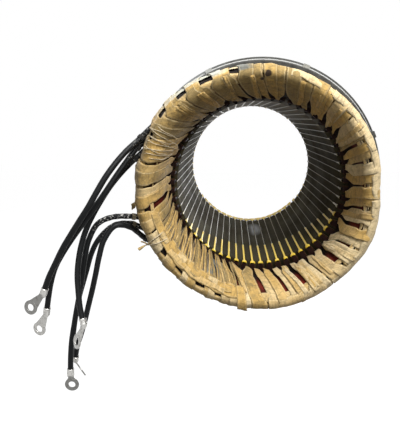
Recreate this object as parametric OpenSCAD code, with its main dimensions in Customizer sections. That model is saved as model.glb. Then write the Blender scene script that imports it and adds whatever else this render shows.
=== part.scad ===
// Wound motor stator: slotted steel core, taped coil overhangs and six lugged leads.
// Millimetres. The axis lies along Y, the lead end faces -Y and Z is up.

/* [Core] */
// Overall length of the core with both end plates
core_len = 320; // [280:2:380]
// Bore diameter
bore_d = 300; // [280:1:320]
// Depth of the yoke between the slots and the outside of the stack
yoke_t = 33; // [26:0.5:44]
// Thickness of each end plate
plate_t = 12; // [6:1:20]
// Radial step from the stack down to the end plates
plate_step = 7; // [5:0.5:9]

/* [Slots] */
// Number of slots
slots = 60; // [54:6:60]
// Turn of the first slot
slot_turn = 4.2; // [0:0.1:6]
// Width of the slot opening
slot_open = 3.5; // [3:0.1:3.9]
// Depth of the tooth tip
tip_h = 1.2; // [0.8:0.1:2]
// Width of a tooth
tooth_w = 7.4; // [7:0.1:8]
// Depth of a slot from the bore to its round bottom
slot_depth = 42; // [38:0.5:45]
// Radial thickness of a slot wedge
wedge_t = 3; // [2:0.1:4]
// Wall of a slot liner
liner_wall = 0.8; // [0.5:0.1:1.2]
// How far a liner cuff stands out of the core
cuff_out = 8; // [5:0.5:9]
// Extra wall of the folded cuff
cuff_fold = 1; // [0.6:0.1:1.6]

/* [Cleats] */
// Number of cleats round the stack
cleats = 8; // [8:1:8]
// Turn of the first cleat
cleat_turn = 24.5; // [20:0.5:28]
// Width of a cleat at its foot
cleat_w = 14; // [10:0.5:18]
// How much narrower a cleat is at its top
cleat_taper = 4; // [2:0.5:6]
// How far a cleat lies below the outside of the stack
cleat_sunk = 1; // [0.5:0.1:2]

/* [Overhangs] */
// How far an overhang stays within the outside of the stack
wind_set = 6; // [3:0.5:10]
// How far an overhang stands back from the bore
wind_back = 10; // [7:0.5:13]
// Gap between the core and an overhang
wind_gap = 10; // [10:0.5:14]
// Length of an overhang from the gap to its crest
wind_len = 80; // [70:1:90]
// Thickness of the taping
tape_t = 3; // [2:0.5:4]

/* [Leads] */
// Diameter of a lead
lead_d = 10; // [8:0.5:10.5]
// Diameter of the twine whipping round a lead
tie_d = 14; // [13:0.5:15]
// Length of the twine whipping along a lead
tie_l = 6; // [4:0.5:9]
// Straight run of a lead past its whipping
run_out = 2; // [1:0.5:4]
// Sides of a lead's cross-section
lead_sides = 10; // [8:1:12]
// Free space all round a lead in its seats
seat_gap = 0.15; // [0.1:0.05:0.3]

/* [Lugs] */
// Outside diameter of a lug barrel
barrel_d = 13; // [12.5:0.1:13.5]
// Length of a lug barrel
barrel_l = 14; // [12:0.5:18]
// Length of lead inside the barrel
crimp_l = 10; // [8:0.5:11]
// Outside diameter of the lug ring
ring_d = 26; // [22:0.5:27]
// Stud hole of the lug
stud_d = 13; // [10:0.5:14]
// Thickness of the lug palm
palm_t = 2.5; // [2:0.1:3]
// Distance from the barrel to the stud hole on the lugs of the lower leads
palm_l = 21; // [18:0.5:24]
// Distance from the barrel to the stud hole on the lugs of the upper leads
upper_palm_l = 38; // [35:0.5:41]
// Width of the lug palm beside the barrel
neck_w = 9; // [7:0.5:11]

/* [Hidden] */
bore_r = bore_d / 2;
core_r = bore_r + slot_depth + yoke_t;
plate_r = core_r - plate_step;
stack_len = core_len - 2 * plate_t;
front_z = core_len / 2;
pitch = 360 / slots;
tip_r = bore_r + tip_h;
wedge_r = tip_r + wedge_t;
slot_bottom_r = bore_r + slot_depth;
// The round bottom of a slot keeps the teeth parallel
round_r = (PI * slot_bottom_r / slots - tooth_w / 2) / (1 + PI / slots);
round_c = slot_bottom_r - round_r;
mouth_half = PI * wedge_r / slots - tooth_w / 2;
wind_r = core_r - wind_set;
wind_in_r = bore_r + wind_back;
wind_z = front_z + wind_gap;
wind_mid_r = (wind_r + wind_in_r) / 2;
wind_half = (wind_r - wind_in_r) / 2;
eps = 0.5;
arc_fn = 96;

// Route of each lead: out to the left of the rim, out from the core face, height.
// The first two points are the straight seat in the overhang.
route = [
    [
        [-47, 30, 121], [-10, 50, 84], [7.5, 70, 66], [22, 88, 47], [35.5, 103, 26],
        [47.5, 114, 4], [61, 120, -20], [76.5, 122, -43], [93, 122, -67],
        [109.5, 122, -92], [125, 122, -120], [139.5, 122, -147], [151, 122, -175]
    ],
    [
        [-34, 20, 97], [-3, 47, 67], [13.5, 63, 43], [28, 78, 20], [43, 91, -4],
        [60.5, 99, -29], [80.5, 102, -55], [100.5, 102, -81], [119, 101, -107],
        [136, 99, -135], [147.5, 97, -164], [156, 95, -195], [163, 94, -226]
    ],
    [
        [-32, 18, 80], [4, 40, 47], [22.5, 48, 28], [40.5, 56, 6], [55.5, 64, -17],
        [68.5, 72, -40], [80.5, 80, -65], [88.5, 89, -91], [93, 98, -118],
        [94, 107, -145], [91, 116, -172], [86, 126, -199], [78, 135, -224]
    ],
    [
        [-22, 34, -60], [10, 48, -53], [41, 56, -53], [67, 64, -64], [82, 72, -91],
        [89, 79, -121], [94, 84, -153], [99, 89, -184], [105, 94, -215],
        [111, 98, -246], [116, 103, -277], [119, 107, -309], [120, 111, -340]
    ],
    [
        [-32, 22, -92], [13, 38, -69], [39, 43, -70], [60, 47, -84], [77, 51, -105],
        [88, 54, -129], [96, 55, -154], [104.5, 56, -180], [113, 57, -206],
        [120, 57, -232], [126.5, 55, -258], [132.5, 53, -285], [137.5, 51, -311]
    ],
    [
        [-54, 22, -128], [-10, 40, -94], [10, 54, -72], [34, 69, -66], [51, 82, -88],
        [59, 90, -116], [66, 93, -147], [74.5, 92, -178], [83.5, 91, -208],
        [93, 89, -239], [103, 87, -269], [114, 86, -299], [121, 84, -330]
    ]
];

// Way each lug palm points and the way its face looks
palm_way = [
    [-0.69, 0.05, -0.72], [-0.46, 0.05, -0.88], [-0.42, 0.1, -0.9],
    [0.05, 0, -1], [0, 0.1, -1], [0.6, -0.15, -0.79]
];
palm_face = [
    [-0.2, -0.95, 0.15], [-0.1, -0.95, 0.3], [-0.68, -0.68, 0.27],
    [0.07, -0.97, 0.24], [0.9, 0.43, 0.04], [0.69, 0.59, 0.42]
];

// Section of a taped overhang as shares of its half width and of its length
function wind_ratios() = [
    [-1, 0], [-0.93, 0.19], [-0.80, 0.38], [-0.64, 0.65], [-0.48, 0.87], [-0.32, 0.95],
    [-0.12, 1], [0.09, 0.98], [0.27, 0.92], [0.42, 0.82], [0.58, 0.69], [0.78, 0.46],
    [0.93, 0.25], [1, 0.10], [0.95, 0]
];

function unit(v) = v / norm(v);

// Half width of a slot at a radius between the wedge and the round bottom
function slot_half(r) = mouth_half + (round_r - mouth_half) * (r - wedge_r) / (round_c - wedge_r);

function route_pt(p) = [-wind_r - p[0], -front_z - p[1], p[2]];

function seat_foot(i) = route_pt(route[i][0]);

function seat_mouth(i) = route_pt(route[i][1]);

function seat_way(i) = unit(seat_mouth(i) - seat_foot(i));

function tie_foot(i) = seat_mouth(i) - seat_way(i) * (tie_l + run_out);

// All points of a lead, from its seat in the overhang to the bottom of its lug
function lead_path(i) = concat(
    [seat_foot(i), seat_mouth(i) - seat_way(i) * run_out],
    [for (k = [1 : len(route[i]) - 1]) route_pt(route[i][k])]
);

function way_at(p, k) = unit(p[min(k + 1, len(p) - 1)] - p[max(k - 1, 0)]);

function ring_at(p, k, r) =
    let (t = way_at(p, k), a = unit(cross([0, 1, 0], t)), b = cross(t, a))
    [for (s = [0 : lead_sides - 1])
        p[k] + r * (cos(360 * s / lead_sides) * a + sin(360 * s / lead_sides) * b)];

function lead_points(p, r) = [for (k = [0 : len(p) - 1]) each ring_at(p, k, r)];

function lead_faces(m) = concat(
    [[for (s = [0 : lead_sides - 1]) s]],
    [[for (s = [lead_sides - 1 : -1 : 0]) (m - 1) * lead_sides + s]],
    [for (k = [0 : m - 2], s = [0 : lead_sides - 1])
        let (u = k * lead_sides, n = (s + 1) % lead_sides)
        [u + s, u + lead_sides + s, u + lead_sides + n]],
    [for (k = [0 : m - 2], s = [0 : lead_sides - 1])
        let (u = k * lead_sides, n = (s + 1) % lead_sides)
        [u + s, u + lead_sides + n, u + n]]
);

function end_way(i) =
    let (p = lead_path(i), m = len(p))
    unit(p[m - 1] - p[m - 2]);

function end_pt(i) =
    let (p = lead_path(i))
    p[len(p) - 1];

// Stands a piece drawn along Z at a point, looking a given way
module along(at, way) {
    translate(at)
        rotate([0, acos(way[2]), atan2(way[1], way[0])])
            children();
}

// Stands a piece drawn along Z on the stator axis, front towards -Y
module on_axis() {
    rotate([90, 0, 0])
        children();
}

module each_slot() {
    for (i = [0 : slots - 1])
        rotate([0, 0, slot_turn + i * pitch])
            children();
}

// Slot from the wedge seat outwards, made smaller all round by a wall
module slot_body(wall) {
    polygon([
        [wedge_r, mouth_half - wall], [wedge_r, wall - mouth_half],
        [round_c, wall - round_r], [round_c, round_r - wall]
    ]);
    translate([round_c, 0])
        circle(r = round_r - wall, $fn = 48);
}

module wedge_shape() {
    polygon([
        [tip_r, slot_open / 2], [tip_r, -slot_open / 2],
        [wedge_r, -mouth_half], [wedge_r, mouth_half]
    ]);
}

module slot_cut() {
    slot_body(0);
    wedge_shape();
    translate([bore_r - slot_open, -slot_open / 2])
        square([slot_open + tip_h + eps, slot_open]);
}

module toothed_ring(r) {
    difference() {
        circle(r = r, $fn = arc_fn * 2);
        circle(r = bore_r, $fn = arc_fn * 2);
        each_slot()
            slot_cut();
    }
}

// Dovetail of a cleat from the end plate rim up to a radius
module cleat_shape(top_r) {
    intersection() {
        difference() {
            circle(r = top_r, $fn = arc_fn * 2);
            circle(r = plate_r, $fn = arc_fn * 2);
        }
        polygon([
            [plate_r - plate_step, cleat_w / 2], [plate_r - plate_step, -cleat_w / 2],
            [core_r + plate_step, -(cleat_w - cleat_taper) / 2],
            [core_r + plate_step, (cleat_w - cleat_taper) / 2]
        ]);
    }
}

module core_stack() {
    color([0.36, 0.35, 0.34])
        on_axis()
            translate([0, 0, -stack_len / 2])
                linear_extrude(height = stack_len)
                    difference() {
                        toothed_ring(core_r);
                        for (i = [0 : cleats - 1])
                            rotate([0, 0, cleat_turn + i * 360 / cleats])
                                cleat_shape(core_r + cleat_sunk);
                    }
}

module end_plate() {
    color([0.30, 0.30, 0.31])
        on_axis()
            translate([0, 0, stack_len / 2])
                linear_extrude(height = plate_t)
                    toothed_ring(plate_r);
}

module front_end_plate() {
    end_plate();
}

module rear_end_plate() {
    mirror([0, 1, 0])
        end_plate();
}

module cleat(i) {
    color([0.42, 0.42, 0.43])
        on_axis()
            rotate([0, 0, cleat_turn + i * 360 / cleats])
                translate([0, 0, -core_len / 2])
                    linear_extrude(height = core_len)
                        cleat_shape(core_r - cleat_sunk);
}

module cleat_1() {
    cleat(0);
}

module cleat_2() {
    cleat(1);
}

module cleat_3() {
    cleat(2);
}

module cleat_4() {
    cleat(3);
}

module cleat_5() {
    cleat(4);
}

module cleat_6() {
    cleat(5);
}

module cleat_7() {
    cleat(6);
}

module cleat_8() {
    cleat(7);
}

// Folded cuff of a liner, drawn from the core face outwards
module cuff() {
    linear_extrude(height = cuff_out)
        difference() {
            slot_body(-cuff_fold);
            slot_body(liner_wall);
        }
}

module slot_liners() {
    color([0.84, 0.70, 0.20])
        on_axis()
            each_slot() {
                translate([0, 0, -core_len / 2])
                    linear_extrude(height = core_len)
                        difference() {
                            slot_body(0);
                            slot_body(liner_wall);
                        }
                translate([0, 0, front_z])
                    cuff();
                translate([0, 0, -front_z - cuff_out])
                    cuff();
            }
}

module slot_wedges() {
    color([0.80, 0.74, 0.46])
        on_axis()
            each_slot()
                translate([0, 0, -front_z - cuff_out / 2])
                    linear_extrude(height = core_len + cuff_out)
                        wedge_shape();
}

module coil_legs() {
    color([0.36, 0.12, 0.08])
        on_axis()
            each_slot()
                translate([0, 0, -wind_z])
                    linear_extrude(height = 2 * wind_z)
                        slot_body(liner_wall);
}

// Section of an overhang, drawn as radius and height above the gap, shrunk by a wall
module overhang_section(wall) {
    kr = 1 - wall / wind_half;
    ks = 1 - wall / wind_len;
    polygon([
        for (p = wind_ratios())
            [wind_mid_r + p[0] * wind_half * kr, p[1] * wind_len * ks]
    ]);
}

// Seats that the leads and their whippings fill
module lead_seats() {
    for (i = [0 : len(route) - 1]) {
        along(seat_foot(i) - seat_way(i) * seat_gap, seat_way(i))
            cylinder(
                d = lead_d + 2 * seat_gap,
                h = norm(seat_mouth(i) - seat_foot(i)) + lead_d,
                $fn = 48
            );
        along(tie_foot(i) - seat_way(i) * seat_gap, seat_way(i))
            cylinder(d = tie_d + 2 * seat_gap, h = tie_l + run_out + lead_d, $fn = 48);
    }
}

module coil_ring() {
    rotate_extrude($fn = arc_fn * 2)
        overhang_section(tape_t);
}

module taping_ring() {
    rotate_extrude($fn = arc_fn * 2)
        difference() {
            overhang_section(0);
            overhang_section(tape_t);
        }
}

module front_coils() {
    color([0.36, 0.12, 0.08])
        difference() {
            on_axis()
                translate([0, 0, wind_z])
                    coil_ring();
            lead_seats();
        }
}

module rear_coils() {
    color([0.36, 0.12, 0.08])
        on_axis()
            mirror([0, 0, 1])
                translate([0, 0, wind_z])
                    coil_ring();
}

module front_taping() {
    color([0.80, 0.70, 0.50])
        difference() {
            on_axis()
                translate([0, 0, wind_z])
                    taping_ring();
            lead_seats();
        }
}

module rear_taping() {
    color([0.80, 0.70, 0.50])
        on_axis()
            mirror([0, 0, 1])
                translate([0, 0, wind_z])
                    taping_ring();
}

module lead_tie(i) {
    color([0.90, 0.88, 0.80])
        along(tie_foot(i), seat_way(i))
            difference() {
                cylinder(d = tie_d, h = tie_l, $fn = 48);
                translate([0, 0, -eps])
                    cylinder(d = lead_d + 2 * seat_gap, h = tie_l + 2 * eps, $fn = 48);
            }
}

module lead_tie_1() {
    lead_tie(0);
}

module lead_tie_2() {
    lead_tie(1);
}

module lead_tie_3() {
    lead_tie(2);
}

module lead_tie_4() {
    lead_tie(3);
}

module lead_tie_5() {
    lead_tie(4);
}

module lead_tie_6() {
    lead_tie(5);
}

module lead(i) {
    path = lead_path(i);
    color([0.10, 0.10, 0.11])
        polyhedron(points = lead_points(path, lead_d / 2), faces = lead_faces(len(path)), convexity = 6);
}

module lead_1() {
    lead(0);
}

module lead_2() {
    lead(1);
}

module lead_3() {
    lead(2);
}

module lead_4() {
    lead(3);
}

module lead_5() {
    lead(4);
}

module lead_6() {
    lead(5);
}

// Barrel drawn along Z, the lead ending at the origin
module lug_barrel() {
    difference() {
        translate([0, 0, -crimp_l])
            cylinder(d = barrel_d, h = barrel_l, $fn = 48);
        translate([0, 0, -crimp_l - eps])
            cylinder(d = lead_d + 2 * seat_gap, h = crimp_l + eps + seat_gap, $fn = 48);
    }
}

// Palm drawn along Y from the origin, facing Z
module lug_palm(l) {
    translate([0, 0, -palm_t / 2])
        linear_extrude(height = palm_t)
            difference() {
                union() {
                    polygon([
                        [-neck_w / 2, 0], [neck_w / 2, 0],
                        [ring_d * 0.47, l - ring_d * 0.17],
                        [-ring_d * 0.47, l - ring_d * 0.17]
                    ]);
                    translate([0, l])
                        circle(d = ring_d, $fn = 64);
                }
                translate([0, l])
                    circle(d = stud_d, $fn = 64);
            }
}

module lug(i) {
    e = end_pt(i);
    d = end_way(i);
    y = unit(palm_way[i]);
    x = unit(cross(y, palm_face[i]));
    z = cross(x, y);
    k = e + d * (barrel_l - crimp_l - palm_t);
    color([0.78, 0.78, 0.76])
        union() {
            along(e, d)
                lug_barrel();
            multmatrix([
                [x[0], y[0], z[0], k[0]],
                [x[1], y[1], z[1], k[1]],
                [x[2], y[2], z[2], k[2]],
                [0, 0, 0, 1]
            ])
                lug_palm(i < 3 ? upper_palm_l : palm_l);
        }
}

module lug_1() {
    lug(0);
}

module lug_2() {
    lug(1);
}

module lug_3() {
    lug(2);
}

module lug_4() {
    lug(3);
}

module lug_5() {
    lug(4);
}

module lug_6() {
    lug(5);
}

core_stack();
front_end_plate();
rear_end_plate();
cleat_1();
cleat_2();
cleat_3();
cleat_4();
cleat_5();
cleat_6();
cleat_7();
cleat_8();
slot_liners();
slot_wedges();
coil_legs();
front_coils();
rear_coils();
front_taping();
rear_taping();
lead_tie_1();
lead_tie_2();
lead_tie_3();
lead_tie_4();
lead_tie_5();
lead_tie_6();
lead_1();
lead_2();
lead_3();
lead_4();
lead_5();
lead_6();
lug_1();
lug_2();
lug_3();
lug_4();
lug_5();
lug_6();
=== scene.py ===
"""Looks of a wound motor stator: taped coil overhangs, slot strips, leads, ring lugs and steel finishes."""

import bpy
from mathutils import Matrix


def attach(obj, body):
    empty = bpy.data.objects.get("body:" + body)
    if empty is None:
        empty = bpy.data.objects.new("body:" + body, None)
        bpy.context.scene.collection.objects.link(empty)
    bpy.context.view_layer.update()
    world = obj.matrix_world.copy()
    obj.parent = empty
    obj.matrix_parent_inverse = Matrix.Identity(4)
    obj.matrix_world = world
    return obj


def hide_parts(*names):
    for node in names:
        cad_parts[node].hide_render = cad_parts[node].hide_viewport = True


bl_info = {
    "name": "Motor stator looks",
    "version": (1, 0, 0),
    "blender": (4, 5, 0),
    "location": "3D View > Sidebar > Stator",
    "description": "Tape, slot strips, leads, lugs and finishes of a wound motor stator",
    "category": "Add Mesh",
}

import bmesh
import bpy
import numpy as np
from bpy.props import FloatProperty, FloatVectorProperty, PointerProperty
from mathutils import Vector

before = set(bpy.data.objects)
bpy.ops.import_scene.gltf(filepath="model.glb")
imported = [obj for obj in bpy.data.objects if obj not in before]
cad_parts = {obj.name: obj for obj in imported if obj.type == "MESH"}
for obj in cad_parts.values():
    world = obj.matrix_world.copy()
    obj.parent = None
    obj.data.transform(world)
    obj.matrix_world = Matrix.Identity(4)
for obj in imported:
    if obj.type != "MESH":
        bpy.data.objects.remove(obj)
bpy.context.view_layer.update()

FACE = 0.160        # core end faces stand at y = -FACE and y = +FACE
BORE_R = 0.150
SLOTS = 60
SLOT_TURN = np.radians(4.2)
CLEATS = 8
LEADS = 6
WIND_R = 0.219      # outer radius of the winding, where the lead routes start
TURN = 2 * np.pi
ROUND = 361         # points on a full turn
PHASE = 6.28        # random phases lie between 0 and this
UV_CM = 100         # the weave's UV counts centimetres

# Overhang section from inner to outer foot, as shares of half its width (across) and its length (axial).
SECTION = np.array([
    [-1, 0], [-0.93, 0.19], [-0.80, 0.38], [-0.64, 0.65], [-0.48, 0.87], [-0.32, 0.95], [-0.12, 1],
    [0.09, 0.98], [0.27, 0.92], [0.42, 0.82], [0.58, 0.69], [0.78, 0.46], [0.93, 0.25], [1, 0.10],
    [0.95, 0]])

# Lead routes, in millimetres: distance out from the winding's left side, forward of the core face, and up.
ROUTES = np.array([
    [[-47, 30, 121], [-10, 50, 84], [7.5, 70, 66], [22, 88, 47], [35.5, 103, 26], [47.5, 114, 4],
     [61, 120, -20], [76.5, 122, -43], [93, 122, -67], [109.5, 122, -92], [125, 122, -120],
     [139.5, 122, -147], [151, 122, -175]],
    [[-34, 20, 97], [-3, 47, 67], [13.5, 63, 43], [28, 78, 20], [43, 91, -4], [60.5, 99, -29],
     [80.5, 102, -55], [100.5, 102, -81], [119, 101, -107], [136, 99, -135], [147.5, 97, -164],
     [156, 95, -195], [163, 94, -226]],
    [[-32, 18, 80], [4, 40, 47], [22.5, 48, 28], [40.5, 56, 6], [55.5, 64, -17], [68.5, 72, -40],
     [80.5, 80, -65], [88.5, 89, -91], [93, 98, -118], [94, 107, -145], [91, 116, -172],
     [86, 126, -199], [78, 135, -224]],
    [[-22, 34, -60], [10, 48, -53], [41, 56, -53], [67, 64, -64], [82, 72, -91], [89, 79, -121],
     [94, 84, -153], [99, 89, -184], [105, 94, -215], [111, 98, -246], [116, 103, -277],
     [119, 107, -309], [120, 111, -340]],
    [[-32, 22, -92], [13, 38, -69], [39, 43, -70], [60, 47, -84], [77, 51, -105], [88, 54, -129],
     [96, 55, -154], [104.5, 56, -180], [113, 57, -206], [120, 57, -232], [126.5, 55, -258],
     [132.5, 53, -285], [137.5, 51, -311]],
    [[-54, 22, -128], [-10, 40, -94], [10, 54, -72], [34, 69, -66], [51, 82, -88], [59, 90, -116],
     [66, 93, -147], [74.5, 92, -178], [83.5, 91, -208], [93, 89, -239], [103, 87, -269],
     [114, 86, -299], [121, 84, -330]]]) * 0.001

# Joint lines between the 30 wide tape turns: angle at the crest in degrees, opening on the inner face
# (below 0: a notch at the inner foot) and on the outer rim in millimetres.
TURN_LINES = np.array([
    [141.1, 0.5, 16], [153.5, 0.5, 11], [165.8, 1.3, 3], [177.9, 1.3, 3.5], [189.5, 6, 5], [202, 1, 1.5],
    [214.4, 0, 12], [226.2, 0, 16], [239, 0, 17], [250.2, 0.5, 12], [262.5, 2.5, 5], [275.5, 6, 2],
    [288, 4, 2], [298.5, 7, 2], [310, 1.5, 2], [320.7, 7, 2], [331, 2, 3], [343, 4.5, 5], [353, 2.5, 6],
    [365, 1.5, 6], [378, 1.5, 6], [389, 2.5, 5], [402, -4, 2], [414, -5, 1], [426, -6, 0.6], [440, -5, 0.6],
    [451, -2, 1], [464.5, 1, 15], [477.1, 0.8, 21], [489.7, 0.5, 17]])

# Band left open at the rim: angle in degrees, lower and upper edge as shares of the section's length.
RIM_SLIT = np.array([
    [-146, 0.45, 0.492], [-134, 0.455, 0.483], [-121, 0.455, 0.481], [-110, 0.46, 0.483],
    [-98, 0.465, 0.495], [-60, 0.47, 0.49], [-40, 0.445, 0.47], [-20, 0.425, 0.465], [-2, 0.425, 0.47],
    [20, 0.435, 0.48], [34, 0.45, 0.49], [60, 0.47, 0.49], [90, 0.44, 0.49], [97, 0.50, 0.54],
    [105, 0.52, 0.60], [117, 0.525, 0.635], [130, 0.54, 0.67], [142, 0.56, 0.70], [155, 0.54, 0.61],
    [165, 0.42, 0.52], [180, 0.40, 0.50], [190, 0.44, 0.49]])


# User values

def metres(name, text, value, low, high):
    """A length property in metres."""
    return FloatProperty(name=name, description=text, default=value, min=low, max=high, subtype='DISTANCE',
                         unit='LENGTH')


class StatorSizes(bpy.types.PropertyGroup):
    """Sizes of the soft pieces, in metres."""
    tape_thick: metres("Tape thickness", "Thickness of one cotton tape", 0.0006, 0.0002, 0.002)
    tape_lean: FloatProperty(name="Tape lean", default=14.0, min=0.0, max=40.0,
                             description="Turn of a tape from inner foot to crest, in degrees")
    lead_d: metres("Lead diameter", "Outside diameter of a lead", 0.010, 0.004, 0.02)
    strip_half: metres("Slot strip half width", "Half the width of a strip in a slot mouth",
                       0.0017, 0.0005, 0.003)
    strip_yellow: metres("Yellow length", "Length of the yellow end of a slot strip", 0.090, 0.01, 0.16)
    bell_reach: metres("Bell reach", "How far a flared strip end stands out of the core",
                       0.0095, 0.002, 0.015)
    bell_half: metres("Bell half width", "Half the width of a flared strip end", 0.0044, 0.002, 0.006)
    twine_d: metres("Twine diameter", "Diameter of the lashing twine", 0.0014, 0.0005, 0.003)


def colour(name, text, value):
    """A colour property in scene-linear values."""
    return FloatVectorProperty(name=name, description=text, subtype='COLOR', size=4, min=0.0, max=1.0,
                               default=(*value, 1.0))


class StatorColours(bpy.types.PropertyGroup):
    """Colours of the finishes."""
    tape_pale: colour("Pale tape", "Clean cotton tape", (0.75, 0.59, 0.335))
    tape_warm: colour("Warm tape", "Varnish-stained tape", (0.60, 0.385, 0.12))
    tape_dull: colour("Dull tape", "Worn and soiled tape", (0.27, 0.20, 0.085))
    coil_red: colour("Coil red", "Enamelled wire in the shade of the tape", (0.17, 0.020, 0.011))
    coil_dark: colour("Coil dark", "Varnish between the wires", (0.008, 0.005, 0.004))
    film_yellow: colour("Film yellow", "Slot liner film and the ends of the slot strips", (0.80, 0.56, 0.035))
    liner_brown: colour("Liner brown", "Slot liner soaked with varnish", (0.060, 0.026, 0.008))
    strip_pale: colour("Strip pale", "Slot strip inside the bore", (0.40, 0.37, 0.26))
    steel_dark: colour("Lamination", "Lamination stack", (0.042, 0.036, 0.020))
    steel_edge: colour("Lamination edge", "Bare and rubbed steel", (0.086, 0.074, 0.043))
    rim_dark: colour("Core outside", "Outside of the core", (0.055, 0.056, 0.052))
    rim_bare: colour("Core outside, bare", "Bare places outside the core", (0.14, 0.14, 0.132))
    rubber: colour("Lead rubber", "Black lead insulation", (0.006, 0.0065, 0.007))
    tin: colour("Tin", "Tinned copper of the lugs", (0.66, 0.65, 0.62))
    twine: colour("Twine", "Lashing twine", (0.62, 0.53, 0.36))
    floor: colour("Floor", "Studio floor", (0.13, 0.13, 0.13))


def sizes():
    """The sizes of this scene."""
    return bpy.context.scene.stator_sizes


def colours():
    """The colours of this scene."""
    return bpy.context.scene.stator_colours


# Surfaces

def unit(a):
    """Vectors of length one."""
    return a / np.linalg.norm(a, axis=-1, keepdims=True)


def curve_through(points, count):
    """Catmull-Rom curve: on each span the cubic through four neighbouring points; count even steps over the
    spans."""
    last = len(points) - 1
    at = np.linspace(0, last, count)
    k = np.minimum(at.astype(int), last - 1)
    f = (at - k)[:, None]
    a, b, c, d = (points[np.clip(k + i, 0, last)] for i in (-1, 0, 1, 2))
    return 0.5 * (2 * b + (c - a) * f + (2 * a - 5 * b + 4 * c - d) * f**2 + (3 * b - a - 3 * c + d) * f**3)


def even_curve(points, count):
    """Catmull-Rom curve through the points, walked again at even steps of its arc length."""
    fine = curve_through(points, 40 * len(points))
    run = np.r_[0, np.cumsum(np.linalg.norm(np.diff(fine, axis=0), axis=1))]
    at = np.linspace(0, run[-1], count)
    return np.stack([np.interp(at, run, fine[:, i]) for i in range(fine.shape[1])], axis=-1)


SEC_BASE = np.array([0.1895, 0.010])    # middle of the section's foot: radius, distance from the core face
SEC_SIZE = np.array([0.0295, 0.080])    # half the section's width, and its length
SEC_STEPS = 400
SEC_V = np.linspace(0, 1, SEC_STEPS)
SEC = even_curve(SEC_BASE + SEC_SIZE * SECTION, SEC_STEPS)
SEC_LEN = float(np.linalg.norm(np.diff(SEC, axis=0), axis=1).sum())
SEC_N = unit(np.gradient(SEC, axis=0))[:, ::-1] * [-1, 1]       # normals of the section


def ease(x, lo, hi):
    """Smooth step: 0 below lo, 1 above hi, 3t^2 - 2t^3 between."""
    t = np.clip((x - lo) / (hi - lo), 0, 1)
    return t * t * (3 - 2 * t)


def around(theta, table, column):
    """Value of a table column at the angle theta, joined straight from row to row round the circle."""
    return np.interp(np.degrees(theta), table[:, 0], table[:, column], period=360)


# Out of round of the lead end: angle in degrees, offset of the crest and of the outer face in millimetres.
OUT_OF_ROUND = np.array([
    [-169, 11, 8], [-156, 10, 6], [-147, 11, 8], [-135, 11, 8], [-116, 11, 7], [-93, 9.5, 5], [-84, 10, 5],
    [-71, 9, 4], [-59, 7, 3], [-48, 4, 2], [-38, 3.5, 2], [-19, 1.5, -0.5], [-9, -5, -6], [3, -10, -15],
    [16, -6.5, -13.5], [30, -7, -17], [38, -7, -18.5], [46, -6, -19], [56, -5, -20], [65, -4, -19],
    [72, -2, -16.5], [80, -1, -15], [87, 1.5, -12], [105, 2, -9], [113, 3, -8], [119, 4, -5], [133, 6, 0.5],
    [142, 7, 3.5], [151, 6, 1], [156, 4, 0], [163, 3, -2], [170, 6, 5.5], [180, 8, 4]])
# Shift of its inner foot: angle in degrees, offset in millimetres.
INNER_SHIFT = np.array([
    [-160, 0], [-130, -8], [-110, -2], [-90, 3], [-40, 7], [0, 0], [45, -2], [90, -5], [140, -1], [180, 3]])


def overhang_point(theta, v, lift, end=-1):
    """Overhang surface: section point (r, s) at the share v of its length, moved along its normal by lift,
    swung to the angle theta about the Y axis. At the lead end crest, outer face and inner foot each move in
    or out by the out-of-round tables, eased from one to the next along v."""
    theta, v, lift = np.broadcast_arrays(theta, v, lift)
    r = np.interp(v, SEC_V, SEC[:, 0])
    s = np.interp(v, SEC_V, SEC[:, 1])
    nr = np.interp(v, SEC_V, SEC_N[:, 0])
    ns = np.interp(v, SEC_V, SEC_N[:, 1])
    beyond = v - np.clip(v, 0, 1)
    s = s - np.abs(beyond) * SEC_LEN
    if end < 0:
        crest, outer = around(theta, OUT_OF_ROUND, 1), around(theta, OUT_OF_ROUND, 2)
        foot = around(theta, INNER_SHIFT, 1) * (1 - ease(v, 0.0, 0.40))
        r = r + 0.001 * (crest * ease(v, 0.20, 0.50) + (outer - crest) * ease(v, 0.55, 0.80) + foot)
    r = r + lift * nr
    s = s + lift * ns
    return np.stack([r * np.cos(theta), end * (FACE + s), r * np.sin(theta)], axis=-1)


def tube(path, radius, sides):
    """Round tube: a circle of that radius (a number or one per point) carried along the path, square to it.
    The circle's start turns with the path by projecting one fixed direction; its ends are drawn in to a
    point."""
    way = unit(np.gradient(path, axis=-2))
    side = unit(np.cross(way, [0.31, 0.42, 0.85]))
    over = np.cross(side, way)
    a = np.linspace(0, TURN, sides, endpoint=False)
    radius = np.broadcast_to(radius, path.shape[:-1])[..., None, None]
    ring = side[..., None, :] * np.cos(a)[:, None] + over[..., None, :] * np.sin(a)[:, None]
    body = path[..., None, :] + radius * ring
    first = path[..., :1, None, :] + 0 * ring[..., :1, :, :]
    last = path[..., -1:, None, :] + 0 * ring[..., -1:, :, :]
    return np.concatenate([first, body, last], axis=-3)


def wound(path, radius, turns):
    """Helix about a path: path + radius (side cos a + over sin a), the angle a growing evenly over the
    turns."""
    way = unit(np.gradient(path, axis=0))
    side = unit(np.cross(way, [0.2, 0.3, 0.9]))
    over = np.cross(way, side)
    a = (TURN * turns * np.linspace(0, 1, len(path)))[:, None]
    return path + radius * (side * np.cos(a) + over * np.sin(a))


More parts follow.
